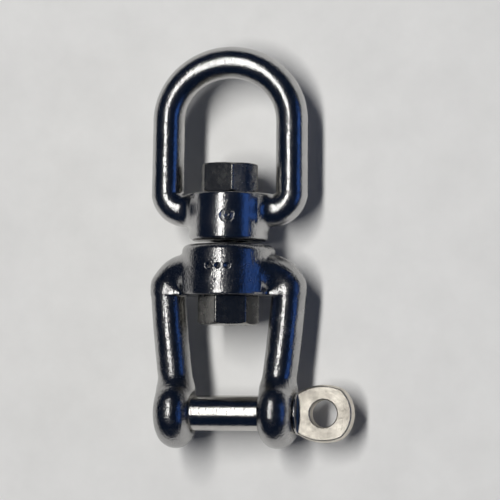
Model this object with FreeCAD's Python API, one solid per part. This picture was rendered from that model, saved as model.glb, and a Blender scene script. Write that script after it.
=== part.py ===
import FreeCAD, Part
import math
import os

# Eye-and-jaw anchor swivel for 8 mm chain.
# The clevis pin lies along X with its head at +X, the swivel axis is Y with the eye at +Y,
# and Z is the thin direction of the fitting. The origin is the middle of the clevis pin.
# All lengths are millimetres and all angles are degrees.

X_AXIS = FreeCAD.Vector(1, 0, 0)
Y_AXIS = FreeCAD.Vector(0, 1, 0)
Z_AXIS = FreeCAD.Vector(0, 0, 1)
ORIGIN = FreeCAD.Vector(0, 0, 0)
BIG = 200.0                      # side of the boxes that trim a solid at a plane

# Driving dimension: the nominal size of the fitting, which is its pin and bolt radius.
PIN_R = 4.0
RUNNING_GAP = 0.08               # radial clearance of every shaft that turns or slides
SEAT_GAP = 0.05                  # clearance between faces that bear on each other

# Jaw: a crown with a round hub, and a limb and an ear on each side.
CROWN_INNER_Y = 26.3
CROWN_TOP_Y = 37.8
CROWN_R = 10.5
CROWN_EDGE_R = 1.6
CROWN_UNDER_EDGE_R = 0.5
LIMB_R = 3.95
LIMB_FOOT_X = 11.9               # middle of the limb's rounded foot, inside the ear
LIMB_FOOT_Y = 6.5
LIMB_LEAN = 5.9                  # outward lean of each limb
LIMB_LENGTH = 20.1               # straight part
SHOULDER_R = 4.9                 # bend of the limb's centre line into the crown
SHOULDER_HALF_WIDTH = 4.1        # in the plane of the bend, just over the limb inside it
SHOULDER_ROOT_DEPTH = 4.2        # half depth of the shoulder where it covers the limb
SHOULDER_DEPTH = 6.6             # half depth of the shoulder inside the crown
SHOULDER_LEAD = 1.2              # length along the limb before the bend, under the crown's flat
SHOULDER_REACH = 4.0             # length past the bend, into the crown
SHOULDER_SECTIONS = 6
LIMB_BEND_SHARE = 0.4            # share of the bend that the plain limb follows
WEB_FROM_X = 6.0                 # web that carries the crown's flat underside out to the limb
WEB_TO_X = 13.0
WEB_HALF_DEPTH = 3.3
WEB_HEIGHT = 4.0
EAR_R = 2 * PIN_R
EAR_INNER_X = 7.85
EAR_CREST_X = 11.8               # where the ear's rim is highest
EAR_OUTER_X = 16.1
EAR_INNER_FLAT_R = EAR_R - (EAR_CREST_X - EAR_INNER_X)
EAR_OUTER_FLAT_R = EAR_R - (EAR_OUTER_X - EAR_CREST_X)

# Eye: a round hub and a D-shaped bow of round rod.
HUB_GAP = 0.85                   # bare shank between the two hubs
EYE_HUB_R = 8.9
EYE_HUB_LENGTH = 10.75
EYE_HUB_EDGE_R = 1.3
BOW_ROD_R = 3.6
BOW_HALF_WIDTH = 14.3            # to the rod's centre line
BOW_CORNER_R = 4.4
BOW_ARM_Y = 45.6
BOW_ARCH_Y = 65.8                # where the straight sides end
BOW_TOP_Y = 79.1

# Swivel bolt and nut.
HEX_FLATS = 12.1
HEAD_HEIGHT = 6.45
NUT_HEIGHT = 6.7
NUT_THREAD_GAP = 0.02
HEX_CHAMFER = 0.55
BOLT_END_OUT = 0.35              # how far the peened end stands out of the nut
BOLT_END_EDGE = 0.5
HEAD_TURN = 19.0                 # how far a flat of the head is turned from +Z towards +X
NUT_TURN = HEAD_TURN + 30.0

# Clevis pin: threaded tip, plain shank, fitted shoulder, collar and flat eye head.
THREAD_R = 3.8
SHANK_HALF = 7.8                 # the plain shank just fills the space between the ears
SHOULDER_PIN_R = PIN_R + 0.2     # the part of the pin that fits the headed ear
THREAD_END_X = -16.5
PIN_TIP_X = -16.9
PIN_TIP_R = 3.0
COLLAR_R = 4.75
COLLAR_END_X = 16.7
PLATE_START_X = 16.4             # the plate is let a little way into the collar
PLATE_THICKNESS = 3.5
PLATE_HALF_WIDTH = 6.5
PLATE_CREST_X = 22.6             # where the plate is widest
PLATE_SIDE_R = 11.0
PLATE_END_X = 29.4
PLATE_END_R = 7.5
PLATE_EDGE = 0.45
EYELET_X = 22.6
EYELET_R = 3.2

EYE_HUB_LOW = CROWN_TOP_Y + HUB_GAP
EYE_HUB_HIGH = EYE_HUB_LOW + EYE_HUB_LENGTH
BORE_R = PIN_R + RUNNING_GAP


def line(start, end):
    """Straight edge between two (x, y) points of the XY plane."""
    return Part.makeLine(FreeCAD.Vector(*start, 0), FreeCAD.Vector(*end, 0))


def quarter_ellipse(centre, half_x, half_y):
    """Quarter of an ellipse in the XY plane; the signs of the half axes choose the quadrant."""
    middle = FreeCAD.Vector(*centre, 0)
    end_x = middle + FreeCAD.Vector(half_x, 0, 0)
    end_y = middle + FreeCAD.Vector(0, half_y, 0)
    if abs(half_x) < abs(half_y):
        end_x, end_y = end_y, end_x
    if math.isclose(abs(half_x), abs(half_y)):
        knee = middle + FreeCAD.Vector(half_x, half_y, 0) * math.sqrt(0.5)
        return Part.Arc(end_x, knee, end_y).toShape()
    ellipse = Part.Ellipse(end_x, end_y, middle)
    return Part.ArcOfEllipse(ellipse, 0, math.pi / 2).toShape()


def turned(edges, axis):
    """Solid turned about an axis through the origin from a closed half section."""
    section = Part.Face(Part.Wire(Part.__sortEdges__(edges)))
    return section.revolve(ORIGIN, axis, 360)


def cylinder(radius, start, end, axis):
    """Round bar between two distances along an axis through the origin."""
    return Part.makeCylinder(radius, end - start, axis * start, axis)


def round_hub(radius, low, high, low_edge, high_edge):
    """Hub about the Y axis with both rims rounded."""
    return turned([
        line((0, low), (radius - low_edge, low)),
        quarter_ellipse((radius - low_edge, low + low_edge), low_edge, -low_edge),
        line((radius, low + low_edge), (radius, high - high_edge)),
        quarter_ellipse((radius - high_edge, high - high_edge), high_edge, high_edge),
        line((radius - high_edge, high), (0, high)),
        line((0, high), (0, low)),
    ], Y_AXIS)


def section_ring(centre, heading, in_plane, depth):
    """Elliptic section, square to a heading in the XY plane: in_plane wide, depth high."""
    across = heading.cross(Z_AXIS).normalize()
    if depth > in_plane:
        ring = Part.Ellipse(centre + Z_AXIS * depth, centre + across * in_plane, centre)
    else:
        ring = Part.Circle(centre, heading, in_plane)
    return Part.Wire(ring.toShape())


def rod(path, radius):
    """Round rod along a smooth path of edges."""
    wire = Part.Wire(path)
    first = path[0]
    start = first.valueAt(first.FirstParameter)
    heading = first.tangentAt(first.FirstParameter)
    section = section_ring(start, heading, radius, radius)
    return wire.makePipeShell([section], True, True)


def both_sides(shape):
    """A shape and its mirror image across the YZ plane."""
    return [shape, shape.mirror(ORIGIN, X_AXIS)]


def hexagon_bar(low, high, turn):
    """Hexagon bar along Y, with one flat turned from +Z towards +X."""
    corner_r = HEX_FLATS / math.sqrt(3)
    corners = []
    for index in range(7):
        angle = math.radians(90 - turn + 30 + 60 * index)
        corner = FreeCAD.Vector(corner_r * math.cos(angle), low, corner_r * math.sin(angle))
        corners.append(corner)
    return Part.Face(Part.makePolygon(corners)).extrude(Y_AXIS * (high - low))


def chamfer_envelope(low, high, low_chamfer, high_chamfer):
    """Turned envelope that takes a cone off the corners of a hexagon at either end."""
    corner_r = HEX_FLATS / math.sqrt(3)
    low_r = corner_r - low_chamfer * math.sqrt(3)
    high_r = corner_r - high_chamfer * math.sqrt(3)
    return turned([
        line((0, low), (low_r, low)),
        line((low_r, low), (corner_r + SEAT_GAP, low + low_chamfer + SEAT_GAP)),
        line((corner_r + SEAT_GAP, low + low_chamfer + SEAT_GAP),
             (corner_r + SEAT_GAP, high - high_chamfer - SEAT_GAP)),
        line((corner_r + SEAT_GAP, high - high_chamfer - SEAT_GAP), (high_r, high)),
        line((high_r, high), (0, high)),
        line((0, high), (0, low)),
    ], Y_AXIS)


def shoulder_arc(share_from, share_to):
    """Centre point, start and end angle and end points of part of the right shoulder's bend."""
    lean = math.radians(LIMB_LEAN)
    top_x = LIMB_FOOT_X + LIMB_LENGTH * math.sin(lean)
    top_y = LIMB_FOOT_Y + LIMB_LENGTH * math.cos(lean)
    centre = FreeCAD.Vector(top_x - SHOULDER_R * math.cos(lean), top_y + SHOULDER_R * math.sin(lean), 0)
    sweep = math.pi / 2 + lean
    return centre, -lean + sweep * share_from, -lean + sweep * share_to


def on_shoulder(centre, angle):
    """Point of the shoulder's centre line, and the heading of the line there."""
    outward = FreeCAD.Vector(math.cos(angle), math.sin(angle), 0)
    heading = FreeCAD.Vector(-math.sin(angle), math.cos(angle), 0)
    return centre + outward * SHOULDER_R, heading


def shoulder():
    """Right shoulder: it deepens along Z as it bends into the crown."""
    centre, start, end = shoulder_arc(0.0, 1.0)
    low, upward = on_shoulder(centre, start)
    high, inward = on_shoulder(centre, end)
    stations = [(low - upward * SHOULDER_LEAD, upward)]
    for index in range(1, SHOULDER_SECTIONS):
        stations.append(on_shoulder(centre, start + (end - start) * index / SHOULDER_SECTIONS))
    stations += [(high, inward), (high + inward * SHOULDER_REACH, inward)]
    sections = []
    for index, (point, heading) in enumerate(stations):
        share = index / (len(stations) - 1)
        depth = SHOULDER_ROOT_DEPTH + (SHOULDER_DEPTH - SHOULDER_ROOT_DEPTH) * share
        sections.append(section_ring(point, heading, SHOULDER_HALF_WIDTH, depth))
    return Part.makeLoft(sections, True)


def web():
    """Right web: fills the corner between the crown's underside and the limb."""
    corner = FreeCAD.Vector(WEB_FROM_X, CROWN_INNER_Y, -WEB_HALF_DEPTH)
    return Part.makeBox(WEB_TO_X - WEB_FROM_X, WEB_HEIGHT, 2 * WEB_HALF_DEPTH, corner)


def limb():
    """Right limb: straight rod with a round foot in the ear, bending into the crown."""
    centre, start, end = shoulder_arc(0.0, LIMB_BEND_SHARE)
    low, _ = on_shoulder(centre, start)
    middle, _ = on_shoulder(centre, (start + end) / 2)
    high, _ = on_shoulder(centre, end)
    foot = FreeCAD.Vector(LIMB_FOOT_X, LIMB_FOOT_Y, 0)
    straight = Part.makeLine(foot, low)
    return rod([straight, Part.Arc(low, middle, high).toShape()], LIMB_R).fuse(Part.makeSphere(LIMB_R, foot))


def ear():
    """Right ear: a bun-shaped boss about the clevis pin, flat where the pin passes."""
    inner_x = EAR_CREST_X - EAR_INNER_X
    outer_x = EAR_OUTER_X - EAR_CREST_X
    return turned([
        line((EAR_INNER_X, 0), (EAR_INNER_X, EAR_INNER_FLAT_R)),
        quarter_ellipse((EAR_CREST_X, EAR_INNER_FLAT_R), -inner_x, EAR_R - EAR_INNER_FLAT_R),
        quarter_ellipse((EAR_CREST_X, EAR_OUTER_FLAT_R), outer_x, EAR_R - EAR_OUTER_FLAT_R),
        line((EAR_OUTER_X, EAR_OUTER_FLAT_R), (EAR_OUTER_X, 0)),
        line((EAR_OUTER_X, 0), (EAR_INNER_X, 0)),
    ], X_AXIS)


def jaw():
    """Forged jaw, bored for the swivel bolt and for the clevis pin."""
    crown = round_hub(CROWN_R, CROWN_INNER_Y, CROWN_TOP_Y, CROWN_UNDER_EDGE_R, CROWN_EDGE_R)
    under_crown = Part.makeBox(BIG, BIG, BIG, FreeCAD.Vector(-BIG / 2, CROWN_INNER_Y - BIG, -BIG / 2))
    body = crown.fuse(both_sides(shoulder())).cut(under_crown)
    body = body.fuse(both_sides(web()) + both_sides(limb()) + both_sides(ear()))
    bolt_bore = cylinder(BORE_R, CROWN_INNER_Y - 1, CROWN_TOP_Y + 1, Y_AXIS)
    tapped_bore = cylinder(BORE_R, -EAR_OUTER_X - 1, 0, X_AXIS)
    shoulder_bore = cylinder(SHOULDER_PIN_R + RUNNING_GAP, 0, EAR_OUTER_X + 1, X_AXIS)
    return body.cut([bolt_bore, tapped_bore, shoulder_bore]).removeSplitter()


def bow_half():
    """Right half of the bow: arm out of the hub, corner, straight side and half of the arch."""
    corner_x = BOW_HALF_WIDTH - BOW_CORNER_R
    corner_y = BOW_ARM_Y + BOW_CORNER_R
    return rod([
        line((0, BOW_ARM_Y), (corner_x, BOW_ARM_Y)),
        quarter_ellipse((corner_x, corner_y), BOW_CORNER_R, -BOW_CORNER_R),
        line((BOW_HALF_WIDTH, corner_y), (BOW_HALF_WIDTH, BOW_ARCH_Y)),
        quarter_ellipse((0, BOW_ARCH_Y), BOW_HALF_WIDTH, BOW_TOP_Y - BOW_ARCH_Y),
    ], BOW_ROD_R)


def eye():
    """Forged eye: hub and bow in one piece, bored for the swivel bolt."""
    hub = round_hub(EYE_HUB_R, EYE_HUB_LOW, EYE_HUB_HIGH, EYE_HUB_EDGE_R, EYE_HUB_EDGE_R)
    body = hub.fuse(both_sides(bow_half()))
    bolt_bore = cylinder(BORE_R, EYE_HUB_LOW - 1, EYE_HUB_HIGH + 1, Y_AXIS)
    return body.cut(bolt_bore).removeSplitter()


def swivel_bolt():
    """Bolt: hexagon head inside the jaw, shank through both hubs, end peened over the nut."""
    head_high = CROWN_INNER_Y - SEAT_GAP
    head_low = head_high - HEAD_HEIGHT
    head = hexagon_bar(head_low, head_high, HEAD_TURN)
    head = head.common(chamfer_envelope(head_low, head_high, HEX_CHAMFER, 0))
    end_y = EYE_HUB_HIGH + SEAT_GAP + NUT_HEIGHT + BOLT_END_OUT
    shank = turned([
        line((0, head_low + 1), (PIN_R, head_low + 1)),
        line((PIN_R, head_low + 1), (PIN_R, end_y - BOLT_END_EDGE)),
        line((PIN_R, end_y - BOLT_END_EDGE), (PIN_R - BOLT_END_EDGE, end_y)),
        line((PIN_R - BOLT_END_EDGE, end_y), (0, end_y)),
        line((0, end_y), (0, head_low + 1)),
    ], Y_AXIS)
    return head.fuse(shank).removeSplitter()


def swivel_nut():
    """Hexagon nut inside the eye, chamfered at both ends."""
    low = EYE_HUB_HIGH + SEAT_GAP
    high = low + NUT_HEIGHT
    nut = hexagon_bar(low, high, NUT_TURN)
    nut = nut.common(chamfer_envelope(low, high, HEX_CHAMFER, HEX_CHAMFER))
    return nut.cut(cylinder(PIN_R + NUT_THREAD_GAP, low - 1, high + 1, Y_AXIS))


def disc(centre_x, centre_y, radius):
    """Disc as thick as the pin head's plate, its faces square to Z."""
    corner = FreeCAD.Vector(centre_x, centre_y, -PLATE_THICKNESS / 2)
    return Part.makeCylinder(radius, PLATE_THICKNESS, corner, Z_AXIS)


def head_plate():
    """Flat eye head of the clevis pin: shallow arcs at the sides and end, cut square at the neck."""
    side_y = PLATE_SIDE_R - PLATE_HALF_WIDTH
    sides = disc(PLATE_CREST_X, side_y, PLATE_SIDE_R).common(disc(PLATE_CREST_X, -side_y, PLATE_SIDE_R))
    beyond_neck = Part.makeBox(BIG, BIG, BIG, FreeCAD.Vector(PLATE_START_X, -BIG / 2, -BIG / 2))
    plate = sides.common(disc(PLATE_END_X - PLATE_END_R, 0, PLATE_END_R)).common(beyond_neck)
    rims = [edge for edge in plate.Edges
            if edge.BoundBox.ZLength < SEAT_GAP and edge.BoundBox.XLength > SEAT_GAP]
    eyelet = Part.makeCylinder(EYELET_R, BIG, FreeCAD.Vector(EYELET_X, 0, -BIG / 2), Z_AXIS)
    return plate.makeChamfer(PLATE_EDGE, rims).cut(eyelet)


def tip_dome():
    """Shallow spherical dome of the threaded tip, as the arc it is turned from."""
    height = THREAD_END_X - PIN_TIP_X
    dome_r = (height ** 2 + PIN_TIP_R ** 2) / (2 * height)
    half_angle = math.asin(PIN_TIP_R / dome_r) / 2
    centre_x = PIN_TIP_X + dome_r
    knee = FreeCAD.Vector(centre_x - dome_r * math.cos(half_angle), dome_r * math.sin(half_angle), 0)
    rim = FreeCAD.Vector(THREAD_END_X, PIN_TIP_R, 0)
    return Part.Arc(rim, knee, FreeCAD.Vector(PIN_TIP_X, 0, 0)).toShape()


def clevis_pin():
    """Screw pin: domed threaded tip, plain shank, shoulder, collar against the ear, eye head."""
    collar_x = EAR_OUTER_X + SEAT_GAP
    body = turned([
        tip_dome(),
        line((THREAD_END_X, PIN_TIP_R), (THREAD_END_X + THREAD_R - PIN_TIP_R, THREAD_R)),
        line((THREAD_END_X + THREAD_R - PIN_TIP_R, THREAD_R), (-SHANK_HALF, THREAD_R)),
        line((-SHANK_HALF, THREAD_R), (-SHANK_HALF, PIN_R)),
        line((-SHANK_HALF, PIN_R), (SHANK_HALF, PIN_R)),
        line((SHANK_HALF, PIN_R), (SHANK_HALF, SHOULDER_PIN_R)),
        line((SHANK_HALF, SHOULDER_PIN_R), (collar_x, SHOULDER_PIN_R)),
        line((collar_x, SHOULDER_PIN_R), (collar_x, COLLAR_R)),
        line((collar_x, COLLAR_R), (COLLAR_END_X, COLLAR_R)),
        line((COLLAR_END_X, COLLAR_R), (COLLAR_END_X, 0)),
        line((COLLAR_END_X, 0), (PIN_TIP_X, 0)),
    ], X_AXIS)
    return body.fuse(head_plate()).removeSplitter()


NODES = {
    "eye": eye,
    "jaw": jaw,
    "swivel_bolt": swivel_bolt,
    "swivel_nut": swivel_nut,
    "clevis_pin": clevis_pin,
}

os.makedirs("parts", exist_ok=True)
for name, build in NODES.items():
    shape = build()
    print(name, shape.ShapeType, "solids", len(shape.Solids), "valid", shape.isValid(),
          "volume", round(shape.Volume, 1), shape.BoundBox)
    shape.exportStep("parts/" + name + ".step")
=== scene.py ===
import math

import bmesh
import bpy
import numpy as np
from mathutils import Matrix, Vector


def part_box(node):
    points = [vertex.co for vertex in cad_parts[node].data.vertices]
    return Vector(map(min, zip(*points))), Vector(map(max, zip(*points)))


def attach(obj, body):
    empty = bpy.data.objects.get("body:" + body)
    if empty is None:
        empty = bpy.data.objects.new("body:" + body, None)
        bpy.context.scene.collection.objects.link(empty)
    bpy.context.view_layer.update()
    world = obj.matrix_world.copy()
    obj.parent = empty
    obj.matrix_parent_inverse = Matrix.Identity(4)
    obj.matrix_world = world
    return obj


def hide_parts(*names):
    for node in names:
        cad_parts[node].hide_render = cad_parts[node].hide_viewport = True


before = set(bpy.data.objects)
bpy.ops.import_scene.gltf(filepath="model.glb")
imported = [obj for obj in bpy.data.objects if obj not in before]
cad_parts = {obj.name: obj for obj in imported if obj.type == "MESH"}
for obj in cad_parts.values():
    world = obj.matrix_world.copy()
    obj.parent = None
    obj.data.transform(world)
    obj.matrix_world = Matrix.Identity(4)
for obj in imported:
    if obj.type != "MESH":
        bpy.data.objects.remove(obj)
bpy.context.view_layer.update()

# ---------------------------------------------------------------------------
# Sizes, in millimetres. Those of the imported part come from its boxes.
# ---------------------------------------------------------------------------
MM = 0.001


def box_mm(node):
    low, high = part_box(node)
    return np.array(low) / MM, np.array(high) / MM


EYE_LOW, EYE_HIGH = box_mm("eye")
JAW_LOW, JAW_HIGH = box_mm("jaw")
BOLT_LOW, BOLT_HIGH = box_mm("swivel_bolt")
NUT_LOW, NUT_HIGH = box_mm("swivel_nut")
PIN_LOW, PIN_HIGH = box_mm("clevis_pin")

PIN_R = 4.0
BORE_R = 4.08
SEAT_GAP = 0.05                  # between faces that bear on each other

BOW_ROD_R = 3.6
BOW_HALF_WIDTH = EYE_HIGH[0] - BOW_ROD_R
BOW_TOP_Y = EYE_HIGH[1] - BOW_ROD_R
BOW_SPREAD = 0.12                # the bow is a little wider at the foot of its sides
BOW_ARCH_Y = 65.8
BOW_ARM_Y = 45.6
BOW_CORNER_R = 4.4
EYE_HUB_R = EYE_HIGH[2]
EYE_HUB_LOW = EYE_LOW[1]
EYE_HUB_HIGH = NUT_LOW[1] - SEAT_GAP

EYE_ARM_DEEPER = 0.26            # how much deeper along Z the arms get at the hub
EYE_MARK_X = 1.6
EYE_MARK_R = 1.3

CROWN_R = JAW_HIGH[2]
CROWN_TOP_Y = JAW_HIGH[1]
HEAD_AND_SEAT = 6.5
CROWN_UNDER_Y = BOLT_LOW[1] + HEAD_AND_SEAT
BEND_X = 9.1                     # centre of each shoulder's bend
BEND_Y = 27.0
BEND_R = 4.9
SHOULDER_SPREAD = 0.5            # how fast the shoulders deepen towards the crown
LIMB_R = 3.9
LIMB_FOOT_Y = 6.5
LIMB_FOOT_X = 11.9
LIMB_BOW = 0.16                  # each limb is slightly bowed outwards
EAR_R = -JAW_LOW[1]
EAR_CREST_X = 11.8
EAR_INNER_X = 7.85
EAR_OUTER_X = 16.1
EAR_FILLET_R = 1.9
EAR_FACING_R = 7.2               # the outer face of each ear is faced flat around the pin
CROWN_MARK_Y = CROWN_UNDER_Y + 6.4
CROWN_MARK_PITCH = 2.2
CROWN_MARK_R = 0.9

HEX_FLATS = 12.1
HEX_FACE_R = 6.05                # where the chamfered faces of the head and the nut end
HEAD_TURN = 19.0                 # degrees from +Z to a flat of the head

SHANK_HALF = 7.8
SHOULDER_STEP = 0.2              # the pin and its bore are this much wider in the headed ear
THREAD_R = 3.95
THREAD_PITCH = 1.25
THREAD_DEPTH = 0.62
THREAD_FROM_X = -8.6
PIN_TIP_R = 3.0
COLLAR_R = 4.75
COLLAR_X = EAR_OUTER_X + SEAT_GAP
COLLAR_WIDTH = 0.6
PLATE_HALF = 1.75
PLATE_BULGE = 0.42               # the outline of the plate is this much fuller at mid thickness
PLATE_HALF_WIDTH = PIN_HIGH[1]
PLATE_SIDE_R = 11.0
PLATE_END_R = 7.5
EYELET_X = 22.6
EYELET_R = 3.1


# ---------------------------------------------------------------------------
# Distance fields: each is a function of points (x, y, z) in millimetres,
# negative inside the metal.
# ---------------------------------------------------------------------------
def length(*parts):
    return np.sqrt(sum(part * part for part in parts))


def cut(a, b, r):
    """Where both fields are metal, with the shared edge rounded to radius r."""
    return np.minimum(np.maximum(a, b), -r) + length(np.maximum(a + r, 0), np.maximum(b + r, 0))


def join(a, b, r):
    """Where either field is metal, with a fillet of radius r in the corner between them."""
    return np.maximum(np.minimum(a, b), r) - length(np.maximum(r - a, 0), np.maximum(r - b, 0))


def oval(u, v, half_u, half_v):
    """Nearly the distance to an ellipse with these half axes."""
    scale = length(u / half_u, v / half_v)
    slope = length(u / half_u ** 2, v / half_v ** 2) + 1e-9
    return scale * (scale - 1) / slope


def segment(x, y, start, end):
    """Distance in the XY plane to a straight segment."""
    dx, dy = end[0] - start[0], end[1] - start[1]
    share = np.clip(((x - start[0]) * dx + (y - start[1]) * dy) / (dx * dx + dy * dy), 0, 1)
    return length(x - start[0] - share * dx, y - start[1] - share * dy)


def arc(x, y, centre, radius, low, high):
    """Distance in the XY plane to an arc between two angles."""
    angle = np.clip(np.arctan2(y - centre[1], x - centre[0]), low, high)
    return length(x - centre[0] - radius * np.cos(angle), y - centre[1] - radius * np.sin(angle))


def quarter_oval(x, y, centre_y, half_x, half_y):
    """Distance in the XY plane to the first quarter of an upright ellipse about (0, centre_y)."""
    px = np.abs(x)
    py = np.maximum(y - centre_y, 0)
    angle = np.arctan2(py / half_y, px / half_x)
    for _ in range(4):
        c, s = np.cos(angle), np.sin(angle)
        ex, ey = half_x * c, half_y * s
        tx, ty = -half_x * s, half_y * c
        miss = (px - ex) * tx + (py - ey) * ty
        rate = -(tx * tx + ty * ty) + (px - ex) * -ex + (py - ey) * -ey
        angle = np.clip(angle - miss / np.minimum(rate, -1.0), 0, math.pi / 2)
    return length(px - half_x * np.cos(angle), y - centre_y - half_y * np.sin(angle))


def waves(x, y, z, amount, seed):
    """Slight unevenness of a forging that was polished by hand."""
    a = np.sin(0.93 * x + 1.7 * seed + 0.8 * np.sin(0.61 * y + seed))
    b = np.sin(1.17 * y - 0.45 * x + 2.3 * seed + 0.9 * np.sin(0.83 * z))
    c = np.sin(1.31 * z + 0.58 * y + 3.1 * seed)
    return amount * (a * b + 0.6 * b * c + 0.5 * c * a)


def ring_mark(u, v, radius, width):
    """1 on a ring of this radius and 0 beyond its width, for marks pressed into a surface."""
    return np.clip(1 - np.abs(length(u, v) - radius) / width, 0, 1)


def eye_field(x, y, z):
    side_x = BOW_HALF_WIDTH + BOW_SPREAD
    corner = (side_x - BOW_CORNER_R, BOW_ARM_Y + BOW_CORNER_R)
    ax = np.abs(x)
    path = segment(ax, y, (0, BOW_ARM_Y), (corner[0], BOW_ARM_Y))
    path = np.minimum(path, arc(ax, y, corner, BOW_CORNER_R, -math.pi / 2, 0))
    path = np.minimum(path, segment(ax, y, (side_x, corner[1]), (BOW_HALF_WIDTH, BOW_ARCH_Y)))
    path = np.minimum(path, quarter_oval(ax, y, BOW_ARCH_Y, BOW_HALF_WIDTH, BOW_TOP_Y - BOW_ARCH_Y))
    near_hub = np.clip((11.2 - ax) / 3.4, 0, 1) * np.clip((52.0 - y) / 3.0, 0, 1)
    bow = length(path, z * (1 - EYE_ARM_DEEPER * near_hub * near_hub)) - BOW_ROD_R
    radial = length(x, z)
    middle = (EYE_HUB_LOW + EYE_HUB_HIGH) / 2
    hub = cut(radial - EYE_HUB_R, EYE_HUB_LOW - y, 1.0)
    body = cut(join(hub, bow, 1.6), y - EYE_HUB_HIGH, 0.45)
    body = join(body, bow, 0.35)
    body = body + waves(x, y, z, 0.012, 1.0)
    # a punched ring with a dot in it, at the front of the hub
    mark = ring_mark(x - EYE_MARK_X, y - middle, EYE_MARK_R, 0.42)
    mark = np.maximum(mark, ring_mark(x - EYE_MARK_X, y - middle, 0.0, 0.5))
    body = body + np.where(z > 0, 0.26 * mark * mark * (3 - 2 * mark), 0)
    bore = np.minimum(BORE_R - radial, EYE_HUB_HIGH + 5 - y)
    return cut(body, bore, 0.4)


def limb_centre(y):
    """Centre line of a limb: X at a height Y, with a slight outward bow."""
    top_x = BEND_X + BEND_R
    share = (y - LIMB_FOOT_Y) / (BEND_Y - LIMB_FOOT_Y)
    return LIMB_FOOT_X + (top_x - LIMB_FOOT_X) * share + LIMB_BOW * 4 * share * (1 - share)


def jaw_field(x, y, z):
    ax = np.abs(x)
    radial = length(x, z)
    # crown and shoulders, cut flat underneath
    crown = cut(radial - CROWN_R, y - CROWN_TOP_Y, 1.6)
    ux, uy = ax - BEND_X, y - BEND_Y
    angle = np.arctan2(uy, np.maximum(ux, 0))
    rise = 1 - np.cos(np.clip(angle, 0, math.pi / 2))
    depth = LIMB_R + SHOULDER_SPREAD * (BEND_R * rise + np.clip(BEND_X - ax, 0, 3))
    out = np.maximum(np.where(ux > 0, length(ux, np.maximum(uy, 0)), uy) - BEND_R, 0)
    shoulder = oval(out, z, LIMB_R, depth)
    top = join(crown, shoulder, 0.7)
    top = cut(top, CROWN_UNDER_Y - y, 0.3)
    # limbs
    height = np.clip(y, LIMB_FOOT_Y, BEND_Y + 1.5)
    over = y - height
    limb = length((ax - limb_centre(height)) * np.where(over == 0, 0.995, 1), over, z) - LIMB_R
    # ears
    spin = length(y, z)
    side = ax - EAR_CREST_X
    reach = np.where(side < 0, EAR_CREST_X - EAR_INNER_X, EAR_OUTER_X - EAR_CREST_X)
    flat_r = EAR_R - reach
    ear = oval(side, np.maximum(spin - flat_r, 0), reach, EAR_R - flat_r)
    body = join(limb, ear, EAR_FILLET_R)
    facing = np.maximum(spin - EAR_FACING_R, EAR_OUTER_X + 0.02 - ax)
    body = cut(body, -facing, 0.05)
    body = join(top, body, 0.3)
    body = body + waves(x, y, z, 0.013, 2.0)
    # three small dots punched in a row at the front of the crown
    mark = 0
    for dot_x in (-CROWN_MARK_PITCH, 0, CROWN_MARK_PITCH):
        mark = np.maximum(mark, ring_mark(x - dot_x, y - CROWN_MARK_Y, 0, CROWN_MARK_R))
    body = body + np.where(z > 0, 0.45 * mark * mark * (3 - 2 * mark), 0)
    body = cut(body, BORE_R - radial, 0.3)
    body = cut(body, np.where(x > 0, BORE_R + SHOULDER_STEP, BORE_R) - spin, 0.15)
    chamfer = (BORE_R + 0.55 - (ax - EAR_INNER_X) - spin) * math.sqrt(0.5)
    return cut(body, chamfer, 0.1)


def hexagon(x, z, flats, turn, edge):
    """Six flats about Y, with one of them turned from +Z towards +X."""
    field = None
    for index in range(3):
        angle = math.radians(turn + 60 * index)
        flat = np.abs(x * math.sin(angle) + z * math.cos(angle)) - flats / 2
        field = flat if field is None else cut(field, flat, edge)
    return field


def bolt_field(x, y, z):
    radial = length(x, z)
    low, head_high, high = BOLT_LOW[1], CROWN_UNDER_Y - SEAT_GAP, BOLT_HIGH[1]
    head = hexagon(x, z, HEX_FLATS, HEAD_TURN, 0.22)
    cone = (radial - HEX_FACE_R) * 0.5 + (low - y) * 0.866
    head = cut(head, cone, 0.12)
    head = cut(head, y - head_high, 0.1)
    head = cut(head, low - y, 0.2)
    shank = cut(radial - PIN_R, low + 1 - y, 0.05)
    dome = length(x, y - high + 9.0, z) - 9.0
    shank = cut(shank, dome, 0.3)
    return join(head, shank, 0.1) + waves(x, y, z, 0.006, 3.0)


def nut_field(x, y, z):
    radial = length(x, z)
    low, high = NUT_LOW[1], NUT_HIGH[1]
    body = hexagon(x, z, HEX_FLATS, HEAD_TURN + 30, 0.22)
    body = cut(body, (radial - HEX_FACE_R) * 0.5 + (y - high) * 0.866, 0.12)
    body = cut(body, (radial - HEX_FACE_R) * 0.5 + (low - y) * 0.866, 0.12)
    body = cut(body, y - high, 0.2)
    body = cut(body, low - y, 0.2)
    return cut(body, PIN_R + 0.02 - radial, 0.2) + waves(x, y, z, 0.006, 4.0)


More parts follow.
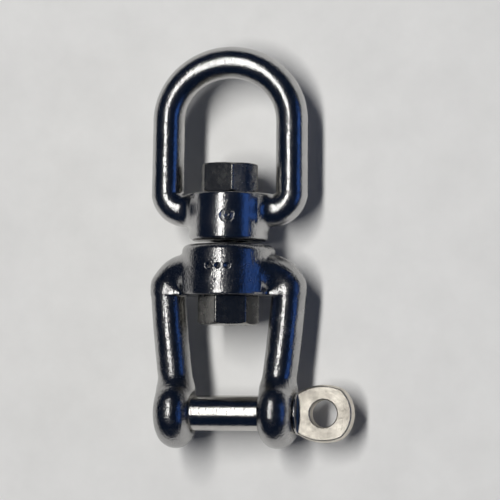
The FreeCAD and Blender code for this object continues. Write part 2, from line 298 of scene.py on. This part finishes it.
def pin_field(x, y, z):
    radial = length(y, z)
    tip = PIN_LOW[0]
    # threaded end
    turn = np.arctan2(z, y) / (2 * math.pi)
    phase = (x / THREAD_PITCH - turn) % 1.0
    groove = 0.5 - 0.5 * np.cos(2 * math.pi * phase)
    thread = radial - THREAD_R + THREAD_DEPTH * groove * np.clip((-9.0 - x) / 1.5, 0, 1)
    # plain shank, shoulder and collar
    shank = radial - np.where(x > SHANK_HALF, PIN_R + SHOULDER_STEP, PIN_R)
    rod = np.where(x < THREAD_FROM_X, thread * 0.8, shank)
    rod = cut(rod, (radial - PIN_TIP_R) * 0.6 + (tip + 0.5 - x) * 0.8, 0.3)
    rod = cut(rod, tip - x + 0.04 * radial * radial, 0.3)
    rod = cut(rod, x - COLLAR_X - 0.4, 0.05)
    ring = cut(cut(radial - COLLAR_R, COLLAR_X - x, 0.25), x - COLLAR_X - COLLAR_WIDTH, 0.2)
    body = join(rod, ring, 0.1)
    # flat eye head
    side_y = PLATE_SIDE_R - PLATE_HALF_WIDTH
    outline = cut(length(x - EYELET_X, y - side_y) - PLATE_SIDE_R,
                  length(x - EYELET_X, y + side_y) - PLATE_SIDE_R, 0.3)
    outline = cut(outline, length(x - PIN_HIGH[0] + PLATE_END_R, y) - PLATE_END_R, 0.35)
    outline = cut(outline, COLLAR_X + 0.25 - x, 0.2)
    bulge = PLATE_BULGE * (z / PLATE_HALF) ** 2
    plate = cut(outline + bulge, np.abs(z) - PLATE_HALF, 0.22)
    plate = cut(plate, EYELET_R - length(x - EYELET_X, y), 0.3)
    return join(body, plate, 0.35) + waves(x, y, z, 0.008, 5.0) * np.clip(x - 15.5, 0, 1)


# ---------------------------------------------------------------------------
# Meshing: a net of quads around the zero of a field, drawn onto it
# ---------------------------------------------------------------------------
def field_net(field, low, high, step):
    """Vertices and quads of a closed net around the surface of a field."""
    axes = [np.arange(low[i] - 3 * step, high[i] + 3 * step, step) for i in range(3)]
    shape = tuple(len(a) for a in axes)
    values = np.empty(shape)
    for index in range(shape[0]):
        gy, gz = np.meshgrid(axes[1], axes[2], indexing="ij")
        values[index] = field(np.full_like(gy, axes[0][index]), gy, gz)
    inside = values < 0
    cells = tuple(n - 1 for n in shape)
    total = np.zeros(cells + (3,))
    count = np.zeros(cells)
    for axis in range(3):
        a, b = [slice(None)] * 3, [slice(None)] * 3
        a[axis], b[axis] = slice(0, -1), slice(1, None)
        va, vb = values[tuple(a)], values[tuple(b)]
        crossed = inside[tuple(a)] != inside[tuple(b)]
        share = np.where(crossed, va / np.where(crossed, va - vb, 1), 0)
        others = [i for i in range(3) if i != axis]
        for p in (0, 1):
            for q in (0, 1):
                part = [slice(None)] * 3
                part[others[0]] = slice(p, p + cells[others[0]])
                part[others[1]] = slice(q, q + cells[others[1]])
                hit = crossed[tuple(part)]
                count += hit
                total[..., axis] += share[tuple(part)] * hit
                total[..., others[0]] += p * hit
                total[..., others[1]] += q * hit
    used = count > 0
    number = np.full(cells, -1)
    number[used] = np.arange(used.sum())
    base = np.argwhere(used)
    points = (base + total[used] / count[used][:, None]) * step
    points += np.array([a[0] for a in axes])
    quads = []
    for axis in range(3):
        a, b = [slice(None)] * 3, [slice(None)] * 3
        a[axis], b[axis] = slice(0, -1), slice(1, None)
        change = inside[tuple(a)].astype(int) - inside[tuple(b)].astype(int)
        others = [(axis + 1) % 3, (axis + 2) % 3]
        for sign in (1, -1):
            at = np.argwhere(change == sign)
            ring = []
            for p, q in ((0, 0), (1, 0), (1, 1), (0, 1))[::sign]:
                corner = at.copy()
                corner[:, others[0]] -= 1 - p
                corner[:, others[1]] -= 1 - q
                ring.append(number[tuple(corner.T)])
            quads.append(np.stack(ring, 1))
    return points, np.concatenate(quads)


def slope(field, points, reach):
    """Field value and gradient at points."""
    x, y, z = points.T
    value = field(x, y, z)
    gradient = np.stack([
        field(x + reach, y, z) - field(x - reach, y, z),
        field(x, y + reach, z) - field(x, y - reach, z),
        field(x, y, z + reach) - field(x, y, z - reach),
    ], 1) / (2 * reach)
    return value, gradient


def settle(field, points, rounds, limit):
    """Moves points along the gradient until they lie on the surface."""
    for _ in range(rounds):
        value, gradient = slope(field, points, 0.01)
        square = np.maximum((gradient ** 2).sum(1), 0.05)
        move = np.clip(value / square, -limit, limit)
        points = points - gradient * move[:, None]
    return points


def relax(points, quads, amount):
    """Moves each point towards the mean of its neighbours."""
    a, b = quads.ravel(), np.roll(quads, -1, axis=1).ravel()
    size = len(points)
    count = np.bincount(a, minlength=size) + np.bincount(b, minlength=size)
    mean = np.zeros_like(points)
    for i in range(3):
        mean[:, i] = np.bincount(a, points[b, i], size) + np.bincount(b, points[a, i], size)
    return points + amount * (mean / count[:, None] - points)


def field_object(name, field, low, high, step, detail=()):
    """Mesh object of a field. Each detail is a region (low, high) that gets finer faces."""
    points, quads = field_net(field, low, high, step)
    points = settle(field, points, 2, step / 2)
    for _ in range(3):
        points = settle(field, relax(points, quads, 0.5), 1, step / 2)
    points = settle(field, points, 2, step / 2)
    mesh = bpy.data.meshes.new(name)
    mesh.from_pydata(points, [], quads.tolist())
    if detail:
        refine(mesh, detail)
        points = np.empty(len(mesh.vertices) * 3)
        mesh.vertices.foreach_get("co", points)
        points = settle(field, points.reshape(-1, 3), 3, step / 2)
    _, gradient = slope(field, points, 0.02)
    normals = gradient / (np.linalg.norm(gradient, axis=1)[:, None] + 1e-12)
    mesh.vertices.foreach_set("co", (points * MM).astype(np.float32).ravel())
    mesh.update()
    mesh.shade_smooth()
    mesh.normals_split_custom_set_from_vertices(normals.tolist())
    obj = bpy.data.objects.new(name, mesh)
    bpy.context.scene.collection.objects.link(obj)
    return obj


def refine(mesh, regions):
    """Splits the faces of a mesh inside box regions into sixteenths."""
    bm = bmesh.new()
    bm.from_mesh(mesh)
    for low, high in regions:
        for _ in range(2):
            chosen = set()
            for face in bm.faces:
                c = face.calc_center_median()
                if all(low[i] < c[i] < high[i] for i in range(3)):
                    chosen.update(face.edges)
            bmesh.ops.subdivide_edges(bm, edges=list(chosen), cuts=1, use_grid_fill=True)
    bm.to_mesh(mesh)
    bm.free()


# ---------------------------------------------------------------------------
# Materials
# ---------------------------------------------------------------------------
class Nodes:
    """Short way to build a node tree."""

    def __init__(self, material):
        material.use_nodes = True
        self.tree = material.node_tree
        self.tree.nodes.clear()

    def add(self, kind, **values):
        node = self.tree.nodes.new(kind)
        for key, value in values.items():
            if key.startswith("in_"):
                name = key[3:].replace("_", " ")
                node.inputs[name].default_value = value
            else:
                setattr(node, key, value)
        return node

    def link(self, source, target):
        self.tree.links.new(source, target)


def ramp(node, stops):
    """Sets the stops of a colour ramp, as (position, grey or colour)."""
    elements = node.color_ramp.elements
    while len(elements) < len(stops):
        elements.new(0.5)
    for element, (place, value) in zip(elements, stops):
        colour = value if isinstance(value, tuple) else (value, value, value)
        element.position = place
        element.color = colour + (1,)


def metal(name, colour, dark, rough, rough_far, grain, grain_size, scratch):
    """Polished or worn steel: uneven roughness, fine grain and hair scratches.

    colour and dark are the two tints of the mottle, rough and rough_far the range of roughness,
    grain and scratch the strengths of the relief, grain_size the grains per metre.
    """
    material = bpy.data.materials.new(name)
    n = Nodes(material)
    out = n.add("ShaderNodeOutputMaterial")
    shader = n.add("ShaderNodeBsdfPrincipled", in_Metallic=1.0)
    n.link(shader.outputs["BSDF"], out.inputs["Surface"])
    place = n.add("ShaderNodeTexCoord").outputs["Object"]
    patches = n.add("ShaderNodeTexNoise", in_Scale=260.0, in_Detail=3.0, in_Roughness=0.6)
    n.link(place, patches.inputs["Vector"])
    tint = n.add("ShaderNodeValToRGB")
    ramp(tint, [(0.3, dark), (0.62, colour)])
    n.link(patches.outputs["Fac"], tint.inputs["Fac"])
    n.link(tint.outputs["Color"], shader.inputs["Base Color"])
    wear = n.add("ShaderNodeTexNoise", in_Scale=420.0, in_Detail=4.0, in_Roughness=0.65)
    n.link(place, wear.inputs["Vector"])
    finish = n.add("ShaderNodeMapRange", in_To_Min=rough, in_To_Max=rough_far)
    finish.inputs["From Min"].default_value = 0.4
    finish.inputs["From Max"].default_value = 0.75
    n.link(wear.outputs["Fac"], finish.inputs["Value"])
    n.link(finish.outputs["Result"], shader.inputs["Roughness"])
    fine = n.add("ShaderNodeTexNoise", in_Scale=grain_size, in_Detail=2.0, in_Roughness=0.5)
    n.link(place, fine.inputs["Vector"])
    bump = n.add("ShaderNodeBump", in_Strength=grain, in_Distance=0.0001)
    n.link(fine.outputs["Fac"], bump.inputs["Height"])
    stretch = n.add("ShaderNodeMapping")
    stretch.inputs["Scale"].default_value = (2600.0, 120.0, 2600.0)
    stretch.inputs["Rotation"].default_value = (0.3, 0.2, 0.5)
    n.link(place, stretch.inputs["Vector"])
    hairs = n.add("ShaderNodeTexNoise", in_Scale=1.0, in_Detail=1.0)
    n.link(stretch.outputs["Vector"], hairs.inputs["Vector"])
    lines = n.add("ShaderNodeBump", in_Strength=scratch, in_Distance=0.00003)
    n.link(hairs.outputs["Fac"], lines.inputs["Height"])
    n.link(bump.outputs["Normal"], lines.inputs["Normal"])
    n.link(lines.outputs["Normal"], shader.inputs["Normal"])
    return material


def floor_paper(name):
    """Pale matt board with a faint mottle."""
    material = bpy.data.materials.new(name)
    n = Nodes(material)
    out = n.add("ShaderNodeOutputMaterial")
    shader = n.add("ShaderNodeBsdfPrincipled", in_Roughness=0.9)
    shader.inputs["Specular IOR Level"].default_value = 0.1
    n.link(shader.outputs["BSDF"], out.inputs["Surface"])
    place = n.add("ShaderNodeTexCoord").outputs["Object"]
    cloud = n.add("ShaderNodeTexNoise", in_Scale=90.0, in_Detail=5.0, in_Roughness=0.6)
    n.link(place, cloud.inputs["Vector"])
    tint = n.add("ShaderNodeValToRGB")
    ramp(tint, [(0.3, (0.70, 0.70, 0.69)), (0.7, (0.75, 0.75, 0.74))])
    n.link(cloud.outputs["Fac"], tint.inputs["Fac"])
    n.link(tint.outputs["Color"], shader.inputs["Base Color"])
    return material


STEEL = (0.53, 0.525, 0.52)
forged = metal("forged_steel", STEEL, (0.45, 0.447, 0.445), 0.18, 0.27, 0.6, 2200.0, 0.2)
coarse = metal("coarse_forged_steel", (0.46, 0.455, 0.45), (0.36, 0.357, 0.355),
               0.21, 0.31, 0.8, 1900.0, 0.2)
turned = metal("turned_steel", (0.58, 0.565, 0.54), (0.48, 0.465, 0.45), 0.16, 0.24, 0.4, 2200.0, 0.25)
hex_steel = metal("hex_steel", (0.40, 0.39, 0.36), (0.33, 0.32, 0.30), 0.24, 0.32, 0.2, 1600.0, 0.4)
cast_face = metal("rough_face", (0.86, 0.81, 0.71), (0.56, 0.52, 0.45), 0.36, 0.46, 1.0, 1100.0, 0.3)

# ---------------------------------------------------------------------------
# The pieces
# ---------------------------------------------------------------------------
STEP = 0.27
FINE = 0.15

eye = field_object("eye_forging", eye_field, EYE_LOW, EYE_HIGH, STEP,
                   [((-0.5, 41.8, 7.5), (3.7, 46.2, 9.5))])
eye.data.materials.append(forged)
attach(eye, "eye")
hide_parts("eye")

jaw = field_object("jaw_forging", jaw_field, JAW_LOW, JAW_HIGH, STEP,
                   [((-3.3, 31.6, 9.5), (3.3, 33.9, 11.0))])
jaw.data.materials.append(coarse)
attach(jaw, "jaw")
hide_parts("jaw")

bolt = field_object("swivel_bolt_steel", bolt_field, BOLT_LOW, BOLT_HIGH, FINE)
bolt.data.materials.append(hex_steel)
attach(bolt, "bolt")
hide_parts("swivel_bolt")

nut = field_object("swivel_nut_steel", nut_field, NUT_LOW, NUT_HIGH, FINE)
nut.data.materials.append(hex_steel)
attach(nut, "bolt")
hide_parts("swivel_nut")

pin = field_object("clevis_pin_steel", pin_field, PIN_LOW, PIN_HIGH, FINE)
pin.data.materials.append(turned)
pin.data.materials.append(cast_face)
for polygon in pin.data.polygons:
    polygon.material_index = 1 if polygon.center.x > (COLLAR_X + COLLAR_WIDTH) * MM else 0
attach(pin, "pin")
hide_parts("clevis_pin")

# ---------------------------------------------------------------------------
# Stage, light and camera
# ---------------------------------------------------------------------------
FLOOR_SLOPE = math.tan(math.radians(7))   # the object lies rolled a little onto its +X side
FLOOR_HALF = 1.2
SLOPE_HALF = 0.06                         # the full slope reaches this far to each side
SLOPE_EASE = 0.08                         # and eases off to level over this width


def floor_sheet():
    """Wide sheet touching the crown from behind, sloped under the object and level beyond it."""
    across = np.concatenate([np.linspace(-FLOOR_HALF, -0.2, 20), np.linspace(-0.19, 0.19, 191),
                             np.linspace(0.2, FLOOR_HALF, 20)])
    level = np.clip((np.abs(across) - SLOPE_HALF) / SLOPE_EASE, 0, 1)
    pitch = FLOOR_SLOPE * (1 - level * level * (3 - 2 * level))
    height = np.concatenate([[0], np.cumsum((pitch[1:] + pitch[:-1]) / 2 * np.diff(across))])
    height -= np.interp(0, across, height) + CROWN_R * MM * math.hypot(1, FLOOR_SLOPE)
    points = []
    for side in (-FLOOR_HALF, FLOOR_HALF):
        points += [(x, side, z) for x, z in zip(across, height)]
    count = len(across)
    faces = [(i, i + 1, count + i + 1, count + i) for i in range(count - 1)]
    mesh = bpy.data.meshes.new("floor")
    mesh.from_pydata(points, [], faces)
    mesh.shade_smooth()
    return mesh


floor_mesh = floor_sheet()
floor = bpy.data.objects.new("floor", floor_mesh)
bpy.context.scene.collection.objects.link(floor)
floor_mesh.materials.append(floor_paper("floor_board"))

LENS = 288
TARGET = Vector((4.9, 36.7, 0)) * MM
TILT_X = math.radians(14)
TILT_Y = math.radians(-3.2)
ROLL = math.radians(0.7)
DISTANCE = 0.9


def aim(obj, direction, distance, roll=0.0, around=TARGET):
    """Places obj off a point in a direction, looking back at the point with +Y up."""
    back = direction.normalized()
    right = Vector((0, 1, 0)).cross(back).normalized()
    up = back.cross(right)
    turn = Matrix.Rotation(roll, 3, back)
    axes = Matrix((turn @ right, turn @ up, back)).transposed()
    obj.matrix_world = Matrix.Translation(around + back * distance) @ axes.to_4x4()


def towards(tilt_x, tilt_y):
    """Direction tilted from +Z towards +X and +Y, in degrees."""
    return Vector((math.tan(math.radians(tilt_x)), math.tan(math.radians(tilt_y)), 1))


camera_data = bpy.data.cameras.new("camera")
camera_data.lens = LENS
camera_data.sensor_width = 36
camera_data.clip_start = 0.01
camera = bpy.data.objects.new("camera", camera_data)
bpy.context.scene.collection.objects.link(camera)
view_from = Vector((math.sin(TILT_X) * math.cos(TILT_Y), math.sin(TILT_Y),
                    math.cos(TILT_X) * math.cos(TILT_Y)))
aim(camera, view_from, DISTANCE, ROLL)
bpy.context.scene.camera = camera


def panel(name, direction, distance, width, height, watts, colour):
    """Rectangular area light: width along X, height along Y."""
    data = bpy.data.lights.new(name, "AREA")
    data.shape = "RECTANGLE"
    data.size = width
    data.size_y = height
    data.energy = watts
    data.color = colour
    obj = bpy.data.objects.new(name, data)
    bpy.context.scene.collection.objects.link(obj)
    aim(obj, direction, distance)
    return obj


# the key lights the floor; a weaker strip just in front of it draws the highlights on the metal
WARM_WHITE = (1.0, 0.985, 0.96)
BLUE = (0.1, 0.28, 1.0)
KEY_SIDE = towards(-12, 8)
key = panel("key", KEY_SIDE, 1.0, 0.13, 0.85, 8.2, WARM_WHITE)
key.visible_glossy = False
panel("strip", KEY_SIDE, 0.995, 0.085, 0.85, 2.0, WARM_WHITE)
panel("accent", towards(64, 0), 1.0, 0.3, 0.8, 0.3, BLUE)
world = bpy.data.worlds.new("world")
bpy.context.scene.world = world
world.use_nodes = True
background = world.node_tree.nodes["Background"]
background.inputs["Color"].default_value = (0.005, 0.011, 0.028, 1)
background.inputs["Strength"].default_value = 1.0
bpy.context.scene.view_settings.view_transform = "Standard"
